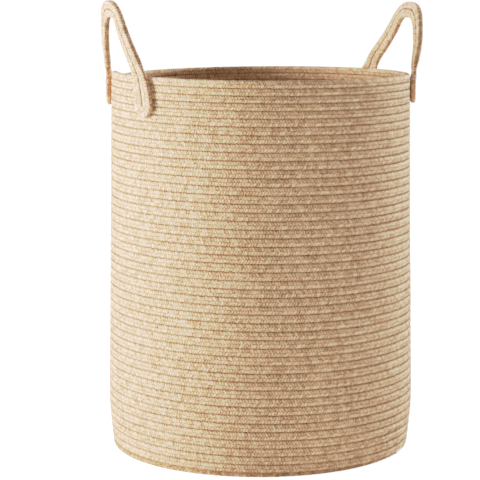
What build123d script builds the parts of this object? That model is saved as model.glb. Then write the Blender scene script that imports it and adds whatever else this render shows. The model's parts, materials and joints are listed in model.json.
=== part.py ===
from build123d import *
import math
import os

# A tall round laundry hamper, open at the top, coiled from one braided rope and machine-sewn.
# Two strap handles of doubled rope are sewn flat to the outside of the wall, opposite each other.
# Millimetres. +Z is up, the origin is the middle of the underside, the handles are on +X and -X.

# --- Driving dimensions -------------------------------------------------------------------

# Wall: turns of rope stacked on each other, wide low down, a little narrower at the rim and foot.
wall_height = 500.0
rim_radius = 198.0
belly_radius = 204.5
foot_radius = 200.0
heel_radius = 10.0
rope_thickness = 9.0
wall_turns = 48
belly_turns = 4

# Base: a flat spiral of the same rope.
base_turns = 18

# The valley between two turns, and the sewing thread that lies in it.
valley_depth = 1.8
valley_half_width = 1.8
thread_width = 1.0
thread_height = 1.1

# Handle strap: two runs of rope side by side.
strap_rope_width = 10.2
strap_thickness = 8.5
strap_rope_gap = 0.2
strap_edge_radius = 3.6
seam_thread_radius = 0.7
seam_thread_clearance = 0.05

# Handle loop: upright feet, sloping shoulders and a round crown; each loop leans outward.
leg_angle = 21.5
shoulder_rise = 13.0
shoulder_bend = 38.0
crown_half_width = 26.0
crown_rise = 85.0
crown_bend = 44.0
bend_room = 0.98
left_lean = 13.0
right_lean = 17.0

# Sewn end of a strap: the same two runs pressed flat, with a turned-under lower end.
sewn_length = 45.0
sewn_thickness = 7.0
sewn_corner_radius = 7.0
sewn_edge_radius = 2.4
sewn_valley_margin = 9.0
rest_gap = 0.75

# --- Values worked out from them ----------------------------------------------------------

turn_pitch = wall_height / wall_turns
belly_height = belly_turns * turn_pitch
base_radius = foot_radius - heel_radius
base_pitch = base_radius / base_turns
strap_width = 2 * strap_rope_width + strap_rope_gap
seat_radius = rim_radius + strap_thickness / 2
hinge_x = seat_radius * math.cos(math.radians(leg_angle))
leg_y = seat_radius * math.sin(math.radians(leg_angle))
hinge_z = wall_height + rest_gap + strap_thickness / 2
shoulder_turn = math.atan2(leg_y - crown_half_width, crown_rise - shoulder_rise)
crown_turn = math.pi / 2 - shoulder_turn
shoulder_room = bend_room * shoulder_rise / math.tan(abs(shoulder_turn) / 2)
crown_room = bend_room * crown_half_width / math.tan(crown_turn / 2)


def outer_radius(z):
    """Radius over the crests of the wall's turns at a height."""
    if z < belly_height:
        return foot_radius + (belly_radius - foot_radius) * z / belly_height
    share = (z - belly_height) / (wall_height - belly_height)
    return belly_radius + (rim_radius - belly_radius) * share


def ring(radius, height, low, high):
    """A ring of thread with a square section, standing out from a radius."""
    middle = (radius + height / 2, (low + high) / 2)
    section = Plane.XZ * Pos(*middle) * Rectangle(height, high - low)
    return revolve(section, Axis.Z)


# --- Wall: the heel, the stacked turns with a valley between each two, and the round rim ----

valley_heights = [turn * turn_pitch for turn in range(1, wall_turns)]
outside = [(base_radius + heel_radius, heel_radius)]
for z in valley_heights[1:]:
    root = outer_radius(z) - valley_depth
    outside += [
        (outer_radius(z - valley_half_width), z - valley_half_width),
        (root, z - thread_width / 2),
        (root, z + thread_width / 2),
        (outer_radius(z + valley_half_width), z + valley_half_width),
    ]
shoulder = wall_height - rope_thickness / 2
rim_outside = (outer_radius(shoulder), shoulder)
rim_top = (outer_radius(shoulder) - rope_thickness / 2, wall_height)
rim_inside = (outer_radius(shoulder) - rope_thickness, shoulder)
inside = [
    rim_inside,
    (belly_radius - rope_thickness, belly_height),
    (base_radius, rope_thickness),
    (base_radius, 0),
]
heel_middle = (
    base_radius + heel_radius * math.sin(math.radians(45)),
    heel_radius * (1 - math.cos(math.radians(45))),
)
wall_outline = Polyline(*outside, rim_outside)
wall_outline += ThreePointArc(rim_outside, rim_top, rim_inside)
wall_outline += Polyline(*inside)
wall_outline += ThreePointArc(inside[-1], heel_middle, outside[0])
wall_coil = revolve(Plane.XZ * make_face(wall_outline), Axis.Z)

wall_stitching = Compound(
    [
        ring(
            outer_radius(z) - valley_depth, thread_height, z - thread_width / 2, z + thread_width / 2
        )
        for z in valley_heights[1:]
    ]
)

# --- Base: the flat spiral, with the same valleys above and below --------------------------

valley_radii = [turn * base_pitch for turn in range(1, base_turns)]
under = [(0, 0)]
over = [(0, rope_thickness)]
for r in valley_radii:
    near, far = r - valley_half_width, r + valley_half_width
    root_near, root_far = r - thread_width / 2, r + thread_width / 2
    under += [(near, 0), (root_near, valley_depth), (root_far, valley_depth), (far, 0)]
    top, root_top = rope_thickness, rope_thickness - valley_depth
    over += [(near, top), (root_near, root_top), (root_far, root_top), (far, top)]
base_outline = Polyline(*under, (base_radius, 0), (base_radius, rope_thickness), *over[::-1], (0, 0))
base_coil = revolve(Plane.XZ * make_face(base_outline), Axis.Z)

base_stitching = Compound(
    [
        ring(r - thread_width / 2, thread_width, low, low + thread_height)
        for r in valley_radii
        for low in (valley_depth - thread_height, rope_thickness - valley_depth)
    ]
)

# --- Handle loop: two ropes and their seam, built about the hinge line ----------------------
# Y runs along the hinge, Z up the loop and X outward through the strap. No bend is larger than
# the straight runs beside it leave room for.

loop_path = FilletPolyline(
    (0, -leg_y, 0),
    (0, -leg_y, shoulder_rise),
    (0, -crown_half_width, crown_rise),
    (0, crown_half_width, crown_rise),
    (0, leg_y, shoulder_rise),
    (0, leg_y, 0),
    radius=[
        min(shoulder_bend, shoulder_room),
        min(crown_bend, crown_room),
        min(crown_bend, crown_room),
        min(shoulder_bend, shoulder_room),
    ],
)


def foot_plane(leg):
    """The level plane through the hinge line at a leg, with x outward from the loop's middle."""
    return Plane(origin=(0, leg * leg_y, 0), x_dir=(0, leg, 0), z_dir=(0, 0, 1))


def strap_rope(offset):
    """One rope of the strap, at an offset from the strap's middle, with a round end on the hinge."""
    profile = RectangleRounded(strap_rope_width, strap_thickness, strap_edge_radius)
    rope = sweep(foot_plane(-1) * Pos(offset, 0) * profile, loop_path)
    half = Pos(0, strap_thickness / 4) * Rectangle(strap_rope_width, strap_thickness / 2)
    for leg in (-1, 1):
        cap = foot_plane(leg) * Pos(offset, 0) * (profile & half)
        rope += revolve(cap, Axis.Y, -leg * 180)
    return rope


def seam_thread():
    """The seam between the two ropes, as one thread along the valley on each face."""
    reach = strap_edge_radius + seam_thread_radius + seam_thread_clearance
    half_gap = strap_edge_radius + strap_rope_gap / 2
    depth = strap_thickness / 2 - strap_edge_radius + math.sqrt(reach**2 - half_gap**2)
    threads = []
    for face in (-1, 1):
        profile = foot_plane(-1) * Pos(0, face * depth) * Circle(seam_thread_radius)
        threads.append(sweep(profile, loop_path).solid())
    return Compound(threads)


rope_offset = (strap_rope_width + strap_rope_gap) / 2
loop_pieces = {
    "outer_rope": strap_rope(rope_offset),
    "inner_rope": strap_rope(-rope_offset),
    "seam_stitching": seam_thread(),
}
right_place = Pos(hinge_x, 0, hinge_z) * Rot(0, right_lean, 0)
left_place = Rot(0, 0, 180) * Pos(hinge_x, 0, hinge_z) * Rot(0, left_lean, 0)

# --- Sewn ends: the strap pressed flat against the outside of the wall ----------------------

envelope = Polyline(
    (0, 0),
    (foot_radius, 0),
    (belly_radius, belly_height),
    (rim_radius, wall_height),
    (0, wall_height),
    (0, 0),
)
wall_envelope = revolve(Plane.XZ * make_face(envelope), Axis.Z)


def sewn_end(angle):
    """The flattened strap end at an angle round the wall, and the thread down its middle."""
    outward = Vector(1, 0, 0).rotate(Axis.Z, angle)
    along_wall = Vector(0, 1, 0).rotate(Axis.Z, angle)
    top = outward * (rim_radius + sewn_thickness) + Vector(0, 0, wall_height)
    face = Plane(origin=top, x_dir=along_wall, z_dir=outward)
    outline = Pos(0, -sewn_length / 2) * Rectangle(strap_width, sewn_length)
    outline = fillet(outline.vertices().sort_by(Axis.Y)[:2], sewn_corner_radius)
    slab = extrude(face * outline, -2 * sewn_thickness)
    slab = fillet(slab.faces().sort_by(Axis(top, outward))[-1].edges(), sewn_edge_radius)
    cross = Plane(origin=top, x_dir=along_wall, z_dir=(0, 0, -1))
    valley = Polyline(
        (-valley_half_width, 0),
        (-thread_width / 2, -valley_depth),
        (thread_width / 2, -valley_depth),
        (valley_half_width, 0),
        (-valley_half_width, 0),
    )
    valley_length = sewn_length - sewn_valley_margin
    slab -= extrude(cross * make_face(valley), valley_length)
    section = Pos(0, thread_height / 2 - valley_depth) * Rectangle(thread_width, thread_height)
    return slab - wall_envelope, extrude(cross * section, valley_length)


# --- One STEP per sub-part -----------------------------------------------------------------

nodes = {
    "base_coil": base_coil,
    "base_stitching": base_stitching,
    "wall_coil": wall_coil,
    "wall_stitching": wall_stitching,
}
for side, place in (("left", left_place), ("right", right_place)):
    for piece, solid in loop_pieces.items():
        nodes[f"{side}_handle_{piece}"] = place * solid
sewn_angles = {
    "right_front": -leg_angle,
    "right_back": leg_angle,
    "left_front": 180 + leg_angle,
    "left_back": 180 - leg_angle,
}
for name, angle in sewn_angles.items():
    nodes[f"{name}_sewn_end"], nodes[f"{name}_end_stitching"] = sewn_end(angle)

os.makedirs("parts", exist_ok=True)
for name, solid in nodes.items():
    export_step(solid, f"parts/{name}.step")
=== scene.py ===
import json
import math

import bpy
from mathutils import Matrix, Vector

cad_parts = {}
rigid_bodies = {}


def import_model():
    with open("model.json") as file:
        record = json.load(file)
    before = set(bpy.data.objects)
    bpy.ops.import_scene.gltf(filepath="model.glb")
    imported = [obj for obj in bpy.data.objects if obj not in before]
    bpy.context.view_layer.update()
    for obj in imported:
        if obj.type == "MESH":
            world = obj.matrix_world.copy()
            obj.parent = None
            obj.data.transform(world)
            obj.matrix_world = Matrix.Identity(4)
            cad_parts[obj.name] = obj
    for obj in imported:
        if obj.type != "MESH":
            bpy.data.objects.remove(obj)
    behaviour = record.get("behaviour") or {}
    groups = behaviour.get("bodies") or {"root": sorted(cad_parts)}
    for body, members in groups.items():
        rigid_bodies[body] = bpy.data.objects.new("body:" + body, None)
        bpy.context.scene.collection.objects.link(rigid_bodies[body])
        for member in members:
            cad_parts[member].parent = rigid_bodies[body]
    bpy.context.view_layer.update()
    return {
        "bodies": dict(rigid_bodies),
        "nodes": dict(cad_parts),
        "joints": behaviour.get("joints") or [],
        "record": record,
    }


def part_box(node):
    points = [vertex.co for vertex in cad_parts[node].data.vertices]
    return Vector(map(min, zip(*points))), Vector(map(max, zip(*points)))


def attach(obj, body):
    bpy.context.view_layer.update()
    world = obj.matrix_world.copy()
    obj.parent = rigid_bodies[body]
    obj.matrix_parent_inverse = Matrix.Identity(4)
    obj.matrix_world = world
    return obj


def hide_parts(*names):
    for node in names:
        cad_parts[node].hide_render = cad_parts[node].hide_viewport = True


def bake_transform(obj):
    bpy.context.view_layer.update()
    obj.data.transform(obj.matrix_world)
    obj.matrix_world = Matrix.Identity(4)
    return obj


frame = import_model()
MM = 0.001


# ==========================================================================================
# The path of the body rope.
# One long rope is wound flat into the base, turns up at the heel and then climbs the wall.
# The path is a rule: how far out and how high the rope's middle is after so many turns.
# ==========================================================================================


class Value:
    """A node's output that takes part in sums, in geometry and in materials alike."""

    def __init__(self, nodes, socket):
        self.nodes = nodes
        self.socket = socket

    def _math(self, operation, *values):
        return self.nodes.add("ShaderNodeMath", {"operation": operation}, values)

    def __add__(self, other):
        return self._math("ADD", self, other)

    def __radd__(self, other):
        return self._math("ADD", other, self)

    def __sub__(self, other):
        return self._math("SUBTRACT", self, other)

    def __rsub__(self, other):
        return self._math("SUBTRACT", other, self)

    def __mul__(self, other):
        return self._math("MULTIPLY", self, other)

    def __rmul__(self, other):
        return self._math("MULTIPLY", other, self)

    def __truediv__(self, other):
        return self._math("DIVIDE", self, other)

    def __rtruediv__(self, other):
        return self._math("DIVIDE", other, self)

    def __pow__(self, other):
        return self._math("POWER", self, other)

    def __mod__(self, other):
        return self._math("FLOORED_MODULO", self, other)


class Nodes:
    """Adds nodes to one tree, and gives each node's output back as a Value."""

    def __init__(self, tree):
        self.tree = tree

    def add(self, kind, settings=(), inputs=(), output=0):
        """A node of a kind, with its settings first, then its inputs by name or in order."""
        made = self.tree.nodes.new(kind)
        for name, setting in dict(settings).items():
            if name == "stops":
                self._stops(made.color_ramp, setting)
            else:
                setattr(made, name, setting)
        pairs = inputs.items() if isinstance(inputs, dict) else enumerate(inputs)
        for key, value in pairs:
            if isinstance(value, Value):
                self.tree.links.new(value.socket, made.inputs[key])
            else:
                made.inputs[key].default_value = value
        return Value(self, made.outputs[output])

    def math(self, operation, *values):
        return self.add("ShaderNodeMath", {"operation": operation}, values)

    def vector(self, x, y, z):
        return self.add("ShaderNodeCombineXYZ", {}, (x, y, z))

    def vector_math(self, operation, *values, output=0):
        return self.add("ShaderNodeVectorMath", {"operation": operation}, values, output)

    def scaled(self, vector, factor):
        inputs = {"Vector": vector, "Scale": factor}
        return self.add("ShaderNodeVectorMath", {"operation": "SCALE"}, inputs)

    def _stops(self, ramp, stops):
        while len(ramp.elements) < len(stops):
            ramp.elements.new(0.5)
        for element, (place, colour) in zip(ramp.elements, stops):
            element.position = place
            element.color = colour


class Shape(Nodes):
    """A geometry node tree with named inputs, run once for each piece it makes."""

    def __init__(self, name, inputs):
        super().__init__(bpy.data.node_groups.new(name, "GeometryNodeTree"))
        face = self.tree.interface
        face.new_socket("Geometry", in_out="INPUT", socket_type="NodeSocketGeometry")
        face.new_socket("Geometry", in_out="OUTPUT", socket_type="NodeSocketGeometry")
        kinds = {int: "NodeSocketInt", float: "NodeSocketFloat"}
        for label, start in inputs.items():
            kind = kinds.get(type(start), "NodeSocketMaterial")
            socket = face.new_socket(label, in_out="INPUT", socket_type=kind)
            if start is not None:
                socket.default_value = start
        self.group_in = self.tree.nodes.new("NodeGroupInput")
        self.group_out = self.tree.nodes.new("NodeGroupOutput")

    def input(self, label):
        return Value(self, self.group_in.outputs[label])

    def store(self, geometry, name, value, kind="FLOAT"):
        settings = {"data_type": kind, "domain": "POINT"}
        inputs = {"Geometry": geometry, "Name": name, "Value": value}
        return self.add("GeometryNodeStoreNamedAttribute", settings, inputs)

    def named(self, name, kind="FLOAT"):
        return self.add("GeometryNodeInputNamedAttribute", {"data_type": kind}, {"Name": name})

    def finish(self, geometry):
        self.tree.links.new(geometry.socket, self.group_out.inputs[0])

    def finish_mesh(self, geometry):
        """Ends the tree with a plain mesh that has the material of the input Finish."""
        real = self.add("GeometryNodeRealizeInstances", {}, {"Geometry": geometry})
        inputs = {"Geometry": real, "Material": self.input("Finish")}
        self.finish(self.add("GeometryNodeSetMaterial", {}, inputs))

    def identifier(self, label):
        items = self.tree.interface.items_tree
        return next(i.identifier for i in items if i.name == label and i.in_out == "INPUT")


def grow(name, start, steps):
    """A plain mesh: a start mesh put through (Shape, inputs) steps one after another."""
    source = bpy.data.objects.new(name + "_source", start)
    bpy.context.scene.collection.objects.link(source)
    for shape, inputs in steps:
        modifier = source.modifiers.new(shape.tree.name, "NODES")
        modifier.node_group = shape.tree
        for label, value in inputs.items():
            modifier[shape.identifier(label)] = value
    bpy.context.view_layer.update()
    graph = bpy.context.evaluated_depsgraph_get()
    mesh = bpy.data.meshes.new_from_object(
        source.evaluated_get(graph), preserve_all_data_layers=True, depsgraph=graph
    )
    mesh.name = name
    bpy.data.objects.remove(source)
    piece = bpy.data.objects.new(name, mesh)
    bpy.context.scene.collection.objects.link(piece)
    return piece


wall_low, wall_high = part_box("wall_coil")
base_low, base_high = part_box("base_coil")
RIM_HEIGHT = wall_high[2]
BELLY_RADIUS = wall_high[0]
BELLY_HEIGHT = 60 * MM
HEEL_SOFTNESS = 2 * MM
RIM_RADIUS = BELLY_RADIUS - 6.5 * MM
FOOT_RADIUS = BELLY_RADIUS - 6.0 * MM
ROPE_THICKNESS = base_high[2] - base_low[2]
BASE_PITCH = 10.55 * MM
RIM_PITCH = 9.2 * MM
RIM_TURNS = 5.0
WALL_TURNS = 42.0
HEEL_TURNS = (FOOT_RADIUS - ROPE_THICKNESS / 2) / BASE_PITCH
LAST_TURN = HEEL_TURNS + WALL_TURNS + RIM_TURNS
WALL_CLIMB = RIM_HEIGHT - ROPE_THICKNESS / 2 - RIM_TURNS * RIM_PITCH
WALL_PITCH = WALL_CLIMB / WALL_TURNS
END_ANGLE = math.radians(157.0)
UNEVEN = 2.4 * MM
UNEVEN_SCALE = 9.0
TAIL_RATE = 40.0
TAIL_GIRTH = 0.15
PRESSED = 1.08
RIM_SOFTNESS = 5 * MM
BELLY_SOFTNESS = 3 * MM
SLOPE_STEP = 0.1

coil = Shape(
    "wound_path",
    {
        "Points": 100,
        "From Turn": 0.5,
        "To Turn": 18.0,
        "Even": 0.0,
        "Between": 0.0,
        "Lift": 0.0,
        "Tail": 0.0,
    },
)


def wound(nodes, turn):
    """(radius, height) of the rope's middle after so many turns from the base's middle."""
    flat = turn * BASE_PITCH
    climbed = turn - HEEL_TURNS
    wall = climbed * WALL_PITCH
    rim = WALL_CLIMB + (climbed - WALL_TURNS) * RIM_PITCH
    climb = nodes.math("SMOOTH_MIN", wall, rim, RIM_SOFTNESS)
    climb = nodes.math("SMOOTH_MAX", climb, 0.0, HEEL_SOFTNESS)
    height = climb + ROPE_THICKNESS / 2
    low = FOOT_RADIUS + height * ((BELLY_RADIUS - FOOT_RADIUS) / BELLY_HEIGHT)
    lean = (BELLY_RADIUS - RIM_RADIUS) / (RIM_HEIGHT - BELLY_HEIGHT)
    high = BELLY_RADIUS - (height - BELLY_HEIGHT) * lean
    outside = nodes.math("SMOOTH_MIN", low, high, BELLY_SOFTNESS)
    radius = nodes.math("SMOOTH_MIN", flat, outside - ROPE_THICKNESS / 2, HEEL_SOFTNESS)
    return radius, height


def wind(nodes):
    """The whole rule: a line of points laid along the rope's middle, with what it faces."""
    points = nodes.input("Points")
    start, stop = nodes.input("From Turn"), nodes.input("To Turn")
    line = nodes.add("GeometryNodeMeshLine", {"mode": "OFFSET"}, {"Count": points})
    share = nodes.add("GeometryNodeInputIndex") / (points - 1.0)
    by_turn = start + (stop - start) * share
    by_length = nodes.math("SQRT", start * start + (stop * stop - start * start) * share)
    turn = by_turn + (by_length - by_turn) * nodes.input("Even")
    level = turn + nodes.input("Between")
    radius, height = wound(nodes, level)
    near_radius, near_height = wound(nodes, level - SLOPE_STEP)
    far_radius, far_height = wound(nodes, level + SLOPE_STEP)
    per_turn = 0.5 / SLOPE_STEP
    out, up = (far_radius - near_radius) * per_turn, (far_height - near_height) * per_turn
    spread = nodes.math("SQRT", out * out + up * up)
    face_out, face_up = up / spread, -1.0 * out / spread
    angle = END_ANGLE + (LAST_TURN - turn) * (2 * math.pi)
    cos, sin = nodes.math("COSINE", angle), nodes.math("SINE", angle)
    facing = nodes.vector(face_out * cos, face_out * sin, face_up)
    place = nodes.vector(radius * cos, radius * sin, height)
    noise_inputs = {"Vector": place, "Scale": UNEVEN_SCALE, "Detail": 1.0}
    uneven = nodes.add("ShaderNodeTexNoise", {}, noise_inputs)
    swell = (uneven - 0.5) * UNEVEN * nodes.math("MINIMUM", level * 0.1, 1.0)
    tail = nodes.math("MINIMUM", (LAST_TURN - turn) * TAIL_RATE, 1.0)
    girth = 1.0 - (1.0 - nodes.math("MAXIMUM", tail, TAIL_GIRTH)) * nodes.input("Tail")
    sink = (1.0 - girth) * (RIM_PITCH / 2)
    lift = nodes.input("Lift")
    radius = radius + face_out * (swell + lift)
    height = height + face_up * lift - sink
    place = nodes.vector(radius * cos, radius * sin, height)
    laid = nodes.add("GeometryNodeSetPosition", {}, {"Geometry": line, "Position": place})
    laid = nodes.store(laid, "facing", facing, "FLOAT_VECTOR")
    laid = nodes.store(laid, "width", spread * girth * PRESSED)
    laid = nodes.store(laid, "thickness", girth * ROPE_THICKNESS)
    # free marks the rim turn and the heel turns, whose one side has no neighbour and gets no painted
    # valley shade.
    rim_turn = nodes.math("GREATER_THAN", turn, LAST_TURN - 1.0)
    heel_turn = nodes.math("COMPARE", turn, HEEL_TURNS - 0.5, 0.6)
    laid = nodes.store(laid, "free", nodes.math("MAXIMUM", rim_turn, heel_turn))
    nodes.finish(laid)


wind(coil)


# ==========================================================================================
# The braided rope.
# Natural jute and cotton strands plaited flat, so both faces show a row of small chevrons.
# Each ring of the skin is bent into one chevron, and every second ring stands proud.
# ==========================================================================================

STRAND_PITCH = 3.7 * MM
STRAND_SLANT = 3.2 * MM
STRAND_DEPTH = 0.65 * MM
SQUARENESS = 0.68

plait = Shape(
    "plaited_rope",
    {
        "Rings": 100,
        "Around": 12,
        "Used": 1.0,
        "Slant": 0.001,
        "Depth": 0.0004,
        "Seed": 1.0,
        "Finish": None,
    },
)


def braid(nodes):
    """A skin of rings swept along the path, shaped by its facing, width and thickness."""
    rings, around = nodes.input("Rings"), nodes.input("Around")
    path = nodes.add("GeometryNodeMeshToCurve", {}, {"Mesh": nodes.input("Geometry")})
    grid_inputs = {"Size X": 1.0, "Size Y": 1.0, "Vertices X": rings + 2.0, "Vertices Y": around + 1.0}
    grid = nodes.add("GeometryNodeMeshGrid", {}, grid_inputs)
    index = nodes.add("GeometryNodeInputIndex")
    ring = nodes.math("FLOOR", (index + 0.5) / (around + 1.0))
    spot = index - ring * (around + 1.0)
    inner = nodes.math("MINIMUM", nodes.math("MAXIMUM", ring - 1.0, 0.0), rings - 1.0)
    capped = nodes.math("COMPARE", ring, 0.0, 0.5) + nodes.math("COMPARE", ring, rings + 1.0, 0.5)
    open_end = 1.0 - capped
    angle = (spot / around) * (2 * math.pi) + math.pi / 2
    cos, sin = nodes.math("COSINE", angle), nodes.math("SINE", angle)
    length = nodes.add("GeometryNodeCurveLength", {}, {"Curve": path})
    lag = nodes.math("ABSOLUTE", sin) * nodes.input("Slant")
    reach = inner / (rings - 1.0) * nodes.input("Used") * length + lag

    def along(kind, name=None, output=0):
        inputs = {"Curves": path, "Length": reach}
        if name:
            inputs["Value"] = nodes.named(name, kind)
        settings = {"mode": "LENGTH", "data_type": kind}
        return nodes.add("GeometryNodeSampleCurve", settings, inputs, output)

    middle = along("FLOAT", None, "Position")
    heading = along("FLOAT", None, "Tangent")
    facing = along("FLOAT_VECTOR", "facing")
    width = along("FLOAT", "width")
    thickness = along("FLOAT", "thickness")
    free = along("FLOAT", "free")
    across = nodes.vector_math("NORMALIZE", nodes.vector_math("CROSS_PRODUCT", heading, facing))
    facing = nodes.vector_math("CROSS_PRODUCT", across, heading)
    key = nodes.vector(nodes.math("FLOOR", inner / 2.0), nodes.math("SIGN", sin), nodes.input("Seed"))
    tone = nodes.add("ShaderNodeTexWhiteNoise", {"noise_dimensions": "3D"}, {"Vector": key})
    crown = nodes.math("ABSOLUTE", cos)
    relief = (inner % 2.0 - 0.5) * nodes.input("Depth") * (0.5 + tone) * crown**0.3
    out = crown**SQUARENESS * nodes.math("SIGN", cos) * (thickness * 0.5 + relief) * open_end
    side = nodes.math("ABSOLUTE", sin) ** SQUARENESS * nodes.math("SIGN", sin)
    over = side * width * 0.5 * open_end
    place = nodes.vector_math("ADD", middle, nodes.scaled(facing, out))
    place = nodes.vector_math("ADD", place, nodes.scaled(across, over))
    skin = nodes.add("GeometryNodeSetPosition", {}, {"Geometry": grid, "Position": place})
    skin = nodes.store(skin, "strand", inner)
    skin = nodes.store(skin, "over", sin)
    # free rides along so the material leaves the painted valley shade off sides with no neighbour.
    skin = nodes.store(skin, "free", free)
    skin = nodes.add("GeometryNodeMergeByDistance", {}, {"Geometry": skin, "Distance": 1e-6})
    skin = nodes.add("GeometryNodeSetShadeSmooth", {}, {"Geometry": skin})
    nodes.finish_mesh(skin)


braid(plait)


class Finish(Nodes):
    """A material: one Principled shader, its fixed numbers set on its own sockets."""

    def __init__(self, name, roughness, specular=0.2, sheen=0.0):
        self.material = bpy.data.materials.new(name)
        self.material.use_nodes = True
        super().__init__(self.material.node_tree)
        self.shader = self.tree.nodes["Principled BSDF"]
        self.shader.inputs["Roughness"].default_value = roughness
        self.shader.inputs["Specular IOR Level"].default_value = specular
        self.shader.inputs["Sheen Weight"].default_value = sheen
        self.shader.inputs["Sheen Roughness"].default_value = 0.6

    def feed(self, socket, value):
        self.tree.links.new(value.socket, self.shader.inputs[socket])

    def attribute(self, name):
        return self.add("ShaderNodeAttribute", {"attribute_name": name}, {}, "Fac")

    def mix(self, first, second, share, blend="MIX"):
        settings = {"data_type": "RGBA", "blend_type": blend}
        inputs = {0: share, 6: first, 7: second}
        return self.add("ShaderNodeMix", settings, inputs, 2)

    def ramp(self, value, stops):
        return self.add("ShaderNodeValToRGB", {"stops": stops}, {"Fac": value})

    def span(self, value, low, high):
        """0 below low, 1 above high and a smooth step between them."""
        settings = {"interpolation_type": "SMOOTHSTEP"}
        inputs = {"Value": value, "From Min": low, "From Max": high}
        return self.add("ShaderNodeMapRange", settings, inputs)


def colour(red, green, blue):
    """A colour said as screen values from 0 to 255, as the shader wants it."""
    linear = [((v / 255 + 0.055) / 1.055) ** 2.4 for v in (red, green, blue)]
    return (*linear, 1.0)


def jute(name, pale, middle, dark, hollow_shade, valley_shade_share):
    """Braided jute: two rows of slanting strands, and painted shade in the valleys between turns, in
    the darkest colour at the strength of the last share.
    """
    finish = Finish(name, 0.9, 0.15, 0.2)
    strand, over = finish.attribute("strand"), finish.attribute("over")
    spot = finish.add("ShaderNodeTexCoord", output="Object")
    drift = finish.add("ShaderNodeTexNoise", {}, {"Vector": spot, "Scale": 22.0, "Detail": 3.0})
    grain = finish.add("ShaderNodeTexNoise", {}, {"Vector": spot, "Scale": 520.0, "Detail": 3.0})
    wander = finish.add("ShaderNodeTexNoise", {}, {"Vector": spot, "Scale": 150.0, "Detail": 2.0})
    level = finish.math("ABSOLUTE", over) ** SQUARENESS * finish.math("SIGN", over)
    row = level + (wander - 0.5) * 0.7
    lane = finish.math("FLOOR", row)
    run = strand / 2.0 + lane * 0.5 + (wander - 0.5) * 1.5
    key = finish.vector(finish.math("FLOOR", run), lane, 0.5)
    tone = finish.add("ShaderNodeTexWhiteNoise", {"noise_dimensions": "3D"}, {"Vector": key})
    hump = finish.math("ABSOLUTE", finish.math("SINE", run * math.pi))
    crest = finish.math("ABSOLUTE", finish.math("SINE", row * math.pi))
    knot = hump**0.7 * crest**0.6
    lengthwise = finish.vector(strand * 6.0, over * 1.6, tone * 9.0)
    fibre = finish.add("ShaderNodeTexNoise", {}, {"Vector": lengthwise, "Scale": 1.0, "Detail": 2.0})
    shade = knot * 0.4 + tone * 0.24 + drift * 0.05 + grain * 0.85 + fibre * 0.2 - 0.39
    stops = [(0.1, hollow_shade), (0.32, dark), (0.56, middle), (0.82, pale)]
    base = finish.ramp(shade, stops)
    # Painted shade: the valleys where two turns press together are mixed toward the darkest colour,
    # except on sides marked free.
    bare = finish.math("MAXIMUM", finish.attribute("free") * finish.math("SIGN", over), 0.0)
    valley = finish.span(finish.math("ABSOLUTE", level), 0.8, 0.96) * (1.0 - bare)
    base = finish.mix(base, hollow_shade, valley * finish.span(wander + drift * 0.5, 0.45, 1.35) * valley_shade_share)
    finish.feed("Base Color", base)
    height = knot * 0.6 + fibre * 0.3 + grain * 0.35
    inputs = {"Strength": 0.7, "Distance": 0.8 * MM, "Height": height}
    finish.feed("Normal", finish.add("ShaderNodeBump", {}, inputs))
    return finish.material


# ==========================================================================================
# The base and the wall.
# One jute rope, wound flat for the base and then stacked turn on turn up to the rim.
# It is made in lengths that meet end to end at the back; the last end is tucked in and sewn.
# ==========================================================================================

BASE_START, BASE_STOP = 0.5, HEEL_TURNS - 0.28
WALL_LENGTHS = 6
ROPE_AROUND = 12
JOINT_OVERRUN = 0.02
POINT_SPACING = 6 * MM
# The darkest colour is painted shade for the hollows between strands and the valleys between turns;
# the last number is how strong the painted valley shade is.
body_rope = jute(
    "jute_rope",
    colour(248, 220, 186),
    colour(226, 188, 148),
    colour(182, 136, 94),
    colour(104, 62, 32),
    0.65,
)


def wound_metres(start, stop, in_base):
    """About how long the body rope is between two turns."""
    mean_radius = (BELLY_RADIUS + RIM_RADIUS - ROPE_THICKNESS) / 2
    if in_base:
        mean_radius = BASE_PITCH * (start + stop) / 2
    return 2 * math.pi * mean_radius * (stop - start)


def rope_length(name, start, stop, even, tail, seed):
    """One length of the body rope between two turns, riding on the basket."""
    overrun = 0.0 if tail else JOINT_OVERRUN
    metres = wound_metres(start, stop, even)
    rings = 2 * round(metres / STRAND_PITCH) + 1
    used = 1.0 if tail else (stop - start) / (stop + overrun - start)
    path = {
        "Points": round(metres / POINT_SPACING),
        "From Turn": start,
        "To Turn": stop + overrun,
        "Even": even,
        "Tail": tail,
    }
    skin = {
        "Rings": rings,
        "Around": ROPE_AROUND,
        "Used": used,
        "Slant": STRAND_SLANT,
        "Depth": STRAND_DEPTH,
        "Seed": seed,
        "Finish": body_rope,
    }
    piece = grow(name, bpy.data.meshes.new(name + "_seed"), [(coil, path), (plait, skin)])
    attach(piece, "basket")
    return piece


base_rope = rope_length("base_rope", BASE_START, BASE_STOP, 1.0, 0.0, 1.0)
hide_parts("base_coil")
step = (LAST_TURN - BASE_STOP) / WALL_LENGTHS
for number in range(WALL_LENGTHS):
    start = BASE_STOP + number * step
    tail = 1.0 if number == WALL_LENGTHS - 1 else 0.0
    piece = rope_length(f"wall_rope_{number + 1}", start, start + step, 0.0, tail, 2.0 + number)
    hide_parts("wall_coil")


# ==========================================================================================
# The sewing thread.
# Strong natural thread, machine-sewn in a zigzag over each valley between two turns.
# It shows on both faces of the wall and of the base, and holds the turns together.
# ==========================================================================================

STITCH_PITCH = 5.3 * MM
STITCH_REACH = 2.3 * MM
STITCH_SAG = 0.4 * MM
THREAD_RADIUS = 0.5 * MM
SEAM_START = BASE_START + 0.2
SEAM_CHANGE = BASE_STOP - 0.5
seam = Shape(
    "zigzag_seam",
    {"Reach": 0.002, "Sag": 0.0003, "Radius": 0.0005, "Sides": 3, "Seed": 1.0, "Finish": None},
)


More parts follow.
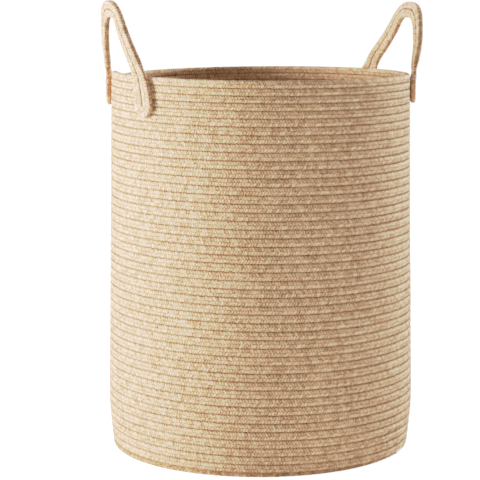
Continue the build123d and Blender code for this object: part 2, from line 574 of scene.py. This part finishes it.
def sew(nodes):
    """Each point of the path goes to one side, the valley, the other side and the valley."""
    path = nodes.add("GeometryNodeMeshToCurve", {}, {"Mesh": nodes.input("Geometry")})
    index = nodes.add("GeometryNodeInputIndex")
    heading = nodes.add("GeometryNodeInputTangent")
    facing = nodes.named("facing", "FLOAT_VECTOR")
    across = nodes.vector_math("NORMALIZE", nodes.vector_math("CROSS_PRODUCT", heading, facing))
    swing = nodes.math("COSINE", index * (math.pi / 2))
    key = nodes.vector(index, nodes.input("Seed"), 0.0)
    chance = nodes.add("ShaderNodeTexWhiteNoise", {"noise_dimensions": "3D"}, {"Vector": key})
    sideways = swing * nodes.input("Reach") * (0.75 + 0.5 * chance)
    sunk = (1.0 - nodes.math("ABSOLUTE", swing)) * nodes.input("Sag") * (0.5 + chance)
    shift = nodes.vector_math("ADD", nodes.scaled(across, sideways), nodes.scaled(facing, -1.0 * sunk))
    path = nodes.add("GeometryNodeSetPosition", {}, {"Geometry": path, "Offset": shift})
    profile_inputs = {"Resolution": nodes.input("Sides"), "Radius": nodes.input("Radius")}
    profile = nodes.add("GeometryNodeCurvePrimitiveCircle", {"mode": "RADIUS"}, profile_inputs)
    tube_inputs = {"Curve": path, "Profile Curve": profile, "Fill Caps": True}
    tube = nodes.add("GeometryNodeCurveToMesh", {}, tube_inputs)
    tube = nodes.add("GeometryNodeSetShadeSmooth", {}, {"Geometry": tube})
    nodes.finish_mesh(tube)


sew(seam)


def thread_finish():
    """Waxed natural thread, twisted, a little paler than the rope."""
    finish = Finish("sewing_thread", 0.75, 0.25, 0.1)
    spot = finish.add("ShaderNodeTexCoord", output="Object")
    drift = finish.add("ShaderNodeTexNoise", {}, {"Vector": spot, "Scale": 60.0, "Detail": 2.0})
    twist = finish.add("ShaderNodeTexNoise", {}, {"Vector": spot, "Scale": 1500.0, "Detail": 1.0})
    stops = [(0.3, colour(176, 134, 90)), (0.7, colour(216, 180, 138))]
    finish.feed("Base Color", finish.ramp(drift * 0.6 + twist * 0.4, stops))
    inputs = {"Strength": 0.4, "Distance": 0.2 * MM, "Height": twist}
    finish.feed("Normal", finish.add("ShaderNodeBump", {}, inputs))
    return finish.material


thread = thread_finish()


def coil_seam(name, start, stop, even, face, seed):
    """The seam on one face (1 outside or below, -1 inside or above) between two turns."""
    metres = wound_metres(start, stop, even)
    path = {
        "Points": 2 * round(metres / STITCH_PITCH),
        "From Turn": start,
        "To Turn": stop,
        "Even": even,
        "Between": 0.5,
        "Lift": face * (ROPE_THICKNESS / 2 - THREAD_RADIUS),
    }
    stitches = {
        "Reach": STITCH_REACH,
        "Sag": face * STITCH_SAG,
        "Radius": THREAD_RADIUS,
        "Sides": 3,
        "Seed": seed,
        "Finish": thread,
    }
    piece = grow(name, bpy.data.meshes.new(name + "_seed"), [(coil, path), (seam, stitches)])
    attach(piece, "basket")
    return piece


for side, face in (("outside", 1), ("inside", -1)):
    piece = coil_seam(f"base_seam_{side}", SEAM_START, SEAM_CHANGE, 1.0, face, 3.0 + face)
    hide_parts("base_stitching")
    piece = coil_seam(f"wall_seam_{side}", SEAM_CHANGE, LAST_TURN - 1.0, 0.0, face, 7.0 + face)
    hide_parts("wall_stitching")


# ==========================================================================================
# The two strap handles.
# Each is one closed loop of softer, paler rope, laid double so that two runs lie side by side.
# Its lower ends are pressed flat and sewn to the wall, and the loop stands up from the rim.
# ==========================================================================================

STRAP_ROPE_WIDTH = 10.8 * MM
STRAP_GAP = 0.2 * MM
STRAP_THICKNESS = 8.5 * MM
SEWN_THICKNESS = 7.2 * MM
PINCH_THICKNESS = 5.6 * MM
SEWN_LENGTHS = {"left": (48 * MM, 43 * MM), "right": (39 * MM, 43 * MM)}
SEWN_SPREAD = 1.45
SEWN_SPLAY = 8.0 * MM
SPREAD_ABOVE_RIM = -2 * MM
SPREAD_SOFTNESS = 5 * MM
LEG_ANGLE = math.radians(21.5)
SHOULDER_RISE = 1.0 * MM
SHOULDER_BEND = 3.0 * MM
CROWN_HALF_WIDTH = 24.0 * MM
CROWN_BEND = 33.0 * MM
CROWN_RISES = {"left": 84.0 * MM, "right": 81.0 * MM}
BOWS = {"left": 2.5 * MM, "right": 4.0 * MM}
SEAT_RADIUS = RIM_RADIUS + STRAP_THICKNESS / 2
LEANS = {"left": math.radians(12.0), "right": math.radians(19.0)}
PATH_STEP = 2.0 * MM
BEND_STEPS = 10
REST_GAP = 0.75 * MM
LEG_TOP = 3 * MM
LOOP_TRIM = 3
EASE_ROUNDS = 36
EASE_REACH = 22 * MM
PINCH_ABOVE_RIM = 3 * MM
PINCH_REACH = 6 * MM
SEAM_DEPTH = 0.42
STRAP_AROUND = 16
STRAP_STITCH_REACH = 2.0 * MM
STRAP_STITCH_SAG = 0.2 * MM


def rounded(corners, bends):
    """Points along a path of straight runs whose inner corners are turned into arcs."""
    points = [corners[0]]
    for before, corner, after, bend in zip(corners, corners[1:], corners[2:], bends):
        back, ahead = (before - corner).normalized(), (after - corner).normalized()
        half = back.angle(ahead) / 2
        middle = corner + (back + ahead).normalized() * (bend / math.sin(half))
        start, stop = corner + back * (bend / math.tan(half)), corner + ahead * (bend / math.tan(half))
        first, last = start - middle, stop - middle
        sweep = first.angle(last)
        steps = max(2, round(bend * sweep / PATH_STEP))
        for number in range(steps + 1):
            share = number / steps * sweep
            ray = (first * math.sin(sweep - share) + last * math.sin(share)) / math.sin(sweep)
            points.append(middle + ray)
    points.append(corners[-1])
    return points


def evenly(points, spacing):
    """The same path with points a fixed spacing apart."""
    lengths = [0.0]
    for first, last in zip(points, points[1:]):
        lengths.append(lengths[-1] + (last - first).length)
    count = round(lengths[-1] / spacing)
    spaced, segment = [], 0
    for number in range(count + 1):
        target = lengths[-1] * number / count
        while segment < len(points) - 2 and lengths[segment + 1] < target:
            segment += 1
        share = (target - lengths[segment]) / (lengths[segment + 1] - lengths[segment])
        spaced.append(points[segment].lerp(points[segment + 1], share))
    return spaced


def wall_radius(height):
    """The radius over the wall's turns at a height."""
    if height < BELLY_HEIGHT:
        return FOOT_RADIUS + (BELLY_RADIUS - FOOT_RADIUS) * height / BELLY_HEIGHT
    share = (height - BELLY_HEIGHT) / (RIM_HEIGHT - BELLY_HEIGHT)
    return BELLY_RADIUS + (RIM_RADIUS - BELLY_RADIUS) * share


def strap_middle(side):
    """(place, facing, rope width, thickness) along the strap, up one leg and down the other."""
    leg_y = SEAT_RADIUS * math.sin(LEG_ANGLE)
    hinge_height = RIM_HEIGHT + REST_GAP + STRAP_THICKNESS / 2
    hinge = Vector((SEAT_RADIUS * math.cos(LEG_ANGLE), 0, hinge_height))
    top = CROWN_RISES[side]
    half_loop = [(leg_y, 0), (leg_y, SHOULDER_RISE), (CROWN_HALF_WIDTH, top)]
    corners = [Vector((0, -y, z)) for y, z in half_loop]
    corners += [Vector((0, y, z)) for y, z in half_loop[::-1]]
    bends = [SHOULDER_BEND, CROWN_BEND, CROWN_BEND, SHOULDER_BEND]
    turn = Matrix.Rotation(LEANS[side], 3, "Y")
    loop_rows = []
    for point in evenly(rounded(corners, bends), PATH_STEP):
        twist = LEG_ANGLE * point.y / leg_y
        facing = turn @ Vector((math.cos(twist), math.sin(twist), 0))
        bow = facing * (BOWS[side] * math.sin(math.pi * point.z / top))
        loop_rows.append((turn @ point + hinge + bow, facing, STRAP_THICKNESS))
    legs = []
    near_to_far = SEWN_LENGTHS[side] if side == "right" else SEWN_LENGTHS[side][::-1]
    for leg, sewn_length in zip((-1, 1), near_to_far):
        rows = []
        height = RIM_HEIGHT - sewn_length + STRAP_ROPE_WIDTH * SEWN_SPREAD
        while height < RIM_HEIGHT - LEG_TOP:
            splay = SEWN_SPLAY * (RIM_HEIGHT - height) / sewn_length
            angle = leg * (LEG_ANGLE + splay / RIM_RADIUS)
            ray = Vector((math.cos(angle), math.sin(angle), 0))
            place = ray * (wall_radius(height) + SEWN_THICKNESS / 2) + Vector((0, 0, height))
            rows.append((place, ray, SEWN_THICKNESS))
            height += PATH_STEP
        legs.append(rows)
    rows = legs[0] + loop_rows[LOOP_TRIM:-LOOP_TRIM] + legs[1][::-1]
    for _ in range(EASE_ROUNDS):
        smooth = [rows[0]]
        for before, row, after in zip(rows, rows[1:], rows[2:]):
            near = abs(row[0].z - RIM_HEIGHT) < EASE_REACH
            mean = [(a + b + 2 * c) / 4 for a, b, c in zip(before, after, row)]
            smooth.append(tuple(mean) if near else row)
        rows = smooth + [rows[-1]]
    flip = Matrix.Rotation(math.pi if side == "left" else 0.0, 3, "Z")
    pinched = []
    for place, facing, thickness in rows:
        squeeze = math.exp(-(((place.z - RIM_HEIGHT - PINCH_ABOVE_RIM) / PINCH_REACH) ** 2))
        thickness += (PINCH_THICKNESS - thickness) * squeeze
        flat = 1 / (1 + math.exp((place.z - RIM_HEIGHT - SPREAD_ABOVE_RIM) / SPREAD_SOFTNESS))
        width = STRAP_ROPE_WIDTH * (1 + (SEWN_SPREAD - 1) * flat)
        pinched.append((flip @ place, (flip @ facing).normalized(), width, thickness))
    return pinched


def strap_frames(rows):
    """Each row with its sideways direction, from the strap's middle to the loop's inside."""
    frames = []
    for number, (place, facing, width, thickness) in enumerate(rows):
        before, after = rows[max(number - 1, 0)][0], rows[min(number + 1, len(rows) - 1)][0]
        heading = (after - before).normalized()
        side = heading.cross(facing).normalized()
        frames.append((place, facing, side * (width + STRAP_GAP) / 2, heading, width, thickness))
    return frames


def path_mesh(name, rows):
    """A line of points that carries what the plait and the seam read from a path."""
    mesh = bpy.data.meshes.new(name)
    mesh.from_pydata([row[0] for row in rows], [(i, i + 1) for i in range(len(rows) - 1)], [])
    facing = mesh.attributes.new("facing", "FLOAT_VECTOR", "POINT")
    facing.data.foreach_set("vector", [v for row in rows for v in row[1]])
    for label, place in (("width", 2), ("thickness", 3)):
        attribute = mesh.attributes.new(label, "FLOAT", "POINT")
        attribute.data.foreach_set("value", [row[place] for row in rows])
    # free -1 keeps the painted valley shade off one side of the strap rope.
    free = mesh.attributes.new("free", "FLOAT", "POINT")
    free.data.foreach_set("value", [-1.0] * len(rows))
    return mesh


def closed_loop(frames):
    """The rope's middle: one outer run, a tight turn, the inner run back and a tight turn."""
    outer = [(place - side, facing, width, thick) for place, facing, side, _, width, thick in frames]
    inner = [(place + side, facing, width, thick) for place, facing, side, _, width, thick in frames]

    def bend(frame, way):
        place, facing, side, heading, width, thickness = frame
        rows = []
        for number in range(1, BEND_STEPS):
            angle = math.pi * number / BEND_STEPS
            out = heading * (way * math.sin(angle) * side.length) - side * math.cos(angle)
            rows.append((place + out, facing, width, thickness))
        return rows

    far, near = bend(frames[-1], 1), bend(frames[0], -1)
    return outer + far + inner[::-1] + near[::-1] + outer[:3]


def strap_seam(frames, face):
    """The valley between the two runs on one face of the strap, from sewn end to sewn end."""
    rows = []
    for place, facing, _, _, width, thickness in frames:
        rows.append((place + facing * (face * thickness * SEAM_DEPTH), facing, width, thickness))
    return rows


def seam_points(rows, spacing):
    """The same line with a point every half stitch."""
    places = evenly([row[0] for row in rows], spacing)
    share = (len(rows) - 1) / (len(places) - 1)
    taken = []
    for number, place in enumerate(places):
        row = rows[min(round(number * share), len(rows) - 1)]
        taken.append((place, row[1], row[2], row[3]))
    return taken


# The darkest colour is painted shade for the hollows between strands and the valley between the two
# runs; the last number is how strong the painted valley shade is.
strap_rope = jute(
    "strap_rope",
    colour(244, 216, 184),
    colour(226, 190, 152),
    colour(188, 142, 102),
    colour(132, 88, 54),
    0.35,
)
for side in ("left", "right"):
    frames = strap_frames(strap_middle(side))
    rows = closed_loop(frames)
    metres = sum((b[0] - a[0]).length for a, b in zip(rows, rows[1:]))
    skin = {
        "Rings": 2 * round(metres / STRAND_PITCH) + 1,
        "Around": STRAP_AROUND,
        "Used": 1.0,
        "Slant": STRAND_SLANT,
        "Depth": STRAND_DEPTH,
        "Seed": 21.0 if side == "left" else 22.0,
        "Finish": strap_rope,
    }
    strap = grow(f"{side}_strap", path_mesh(f"{side}_strap_path", rows), [(plait, skin)])
    ropes = [f"{side}_handle_outer_rope", f"{side}_handle_inner_rope"]
    ends = [f"{side}_front_sewn_end", f"{side}_back_sewn_end"]
    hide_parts(*ropes, *ends)
    pieces = [strap]
    for label, face in (("outside", 1), ("inside", -1)):
        line = seam_points(strap_seam(frames, face), STITCH_PITCH / 2)
        stitches = {
            "Reach": STRAP_STITCH_REACH,
            "Sag": face * STRAP_STITCH_SAG,
            "Radius": THREAD_RADIUS,
            "Sides": 4,
            "Seed": 31.0 + face,
            "Finish": thread,
        }
        path = path_mesh(f"{side}_seam_path", line)
        piece = grow(f"{side}_strap_seam_{label}", path, [(seam, stitches)])
        seams = [f"{side}_{part}_stitching" for part in ("handle_seam", "front_end", "back_end")]
        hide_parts(*seams)
        pieces.append(piece)
    for piece in pieces:
        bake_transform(piece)


# ==========================================================================================
# The studio: white paper, a large soft light from the left, and weak ones in front and above.
# A light from behind on the right gives the thin bright right edge next to the darker middle.
# The tone curve keeps the pale side from burning out, as film does.
# ==========================================================================================

CAMERA_DISTANCE = 2.6186
CAMERA_HEIGHT = 0.6643
CAMERA_AZIMUTH = math.radians(-20.0)
CAMERA_TURN = math.radians(0.60)
CAMERA_TILT = math.radians(8.44)

camera = bpy.data.objects.new("camera", bpy.data.cameras.new("camera"))
camera.data.sensor_width = 36.0
camera.data.lens = 147.6
camera.data.clip_end = 200.0
bpy.context.scene.collection.objects.link(camera)
camera.location = (
    CAMERA_DISTANCE * math.sin(CAMERA_AZIMUTH),
    -CAMERA_DISTANCE * math.cos(CAMERA_AZIMUTH),
    CAMERA_HEIGHT,
)
heading = math.pi / 2 + CAMERA_AZIMUTH + CAMERA_TURN
look = Vector((math.cos(heading), math.sin(heading), -math.tan(CAMERA_TILT)))
camera.rotation_euler = look.to_track_quat("-Z", "Y").to_euler()
bpy.context.scene.camera = camera


def soft_light(name, bearing, distance, height, size, power):
    """A square soft light, at a bearing from the camera's own (degrees to its right)."""
    light = bpy.data.objects.new(name, bpy.data.lights.new(name, "AREA"))
    light.data.size = size
    light.data.energy = power
    angle = -math.pi / 2 + CAMERA_AZIMUTH + math.radians(bearing)
    light.location = (distance * math.cos(angle), distance * math.sin(angle), height)
    aim = Vector((0, 0, RIM_HEIGHT / 2)) - light.location
    light.rotation_euler = aim.to_track_quat("-Z", "Y").to_euler()
    bpy.context.scene.collection.objects.link(light)


soft_light("key_light", -85.0, 2.6, 0.66, 0.9, 117.0)
soft_light("front_light", 10.0, 3.2, 0.52, 0.8, 26.0)
soft_light("rim_light", 128.0, 2.4, 1.5, 0.7, 84.0)
soft_light("top_light", 180.0, 0.5, 2.4, 0.6, 16.0)

PAPER_GLOW = 2.4
SKY_GLOW = 2.6
ROOM_LIGHT = 0.07
FLOOR_LIGHT = 0.22


def lit_for_camera(nodes, seen, cast):
    """A strength that is one number as seen and another as light on the hamper."""
    watched = nodes.add("ShaderNodeLightPath", output="Is Camera Ray")
    return watched * (seen - cast) + cast


world = bpy.data.worlds.new("studio")
bpy.context.scene.world = world
world.use_nodes = True
room = Nodes(world.node_tree)
backdrop = world.node_tree.nodes["Background"]
backdrop.inputs["Color"].default_value = (1.0, 1.0, 1.0, 1.0)
strength = lit_for_camera(room, SKY_GLOW, ROOM_LIGHT)
world.node_tree.links.new(strength.socket, backdrop.inputs["Strength"])

FLOOR_REACH = 60.0
floor_mesh = bpy.data.meshes.new("floor")
corners = [(-FLOOR_REACH, -FLOOR_REACH, 0), (FLOOR_REACH, -FLOOR_REACH, 0)]
corners += [(FLOOR_REACH, FLOOR_REACH, 0), (-FLOOR_REACH, FLOOR_REACH, 0)]
floor_mesh.from_pydata(corners, [], [(0, 1, 2, 3)])
floor = bpy.data.objects.new("floor", floor_mesh)
bpy.context.scene.collection.objects.link(floor)
paper = Finish("white_paper", 0.9)
paper.shader.inputs["Base Color"].default_value = (0.8, 0.8, 0.8, 1.0)
paper.shader.inputs["Emission Color"].default_value = (1.0, 1.0, 1.0, 1.0)
paper.feed("Emission Strength", lit_for_camera(paper, PAPER_GLOW, FLOOR_LIGHT))
floor_mesh.materials.append(paper.material)

TONE_WHITE = 2.2
TONE_CURVE = [(0.3, 0.3), (0.56, 0.54), (0.92, 0.69), (1.34, 0.81)]
view = bpy.context.scene.view_settings
view.view_transform = "Standard"
view.use_curve_mapping = True
view.curve_mapping.white_level = (TONE_WHITE, TONE_WHITE, TONE_WHITE)
master = view.curve_mapping.curves[3]
for light, tone in TONE_CURVE:
    master.points.new(light / TONE_WHITE, tone)
view.curve_mapping.update()
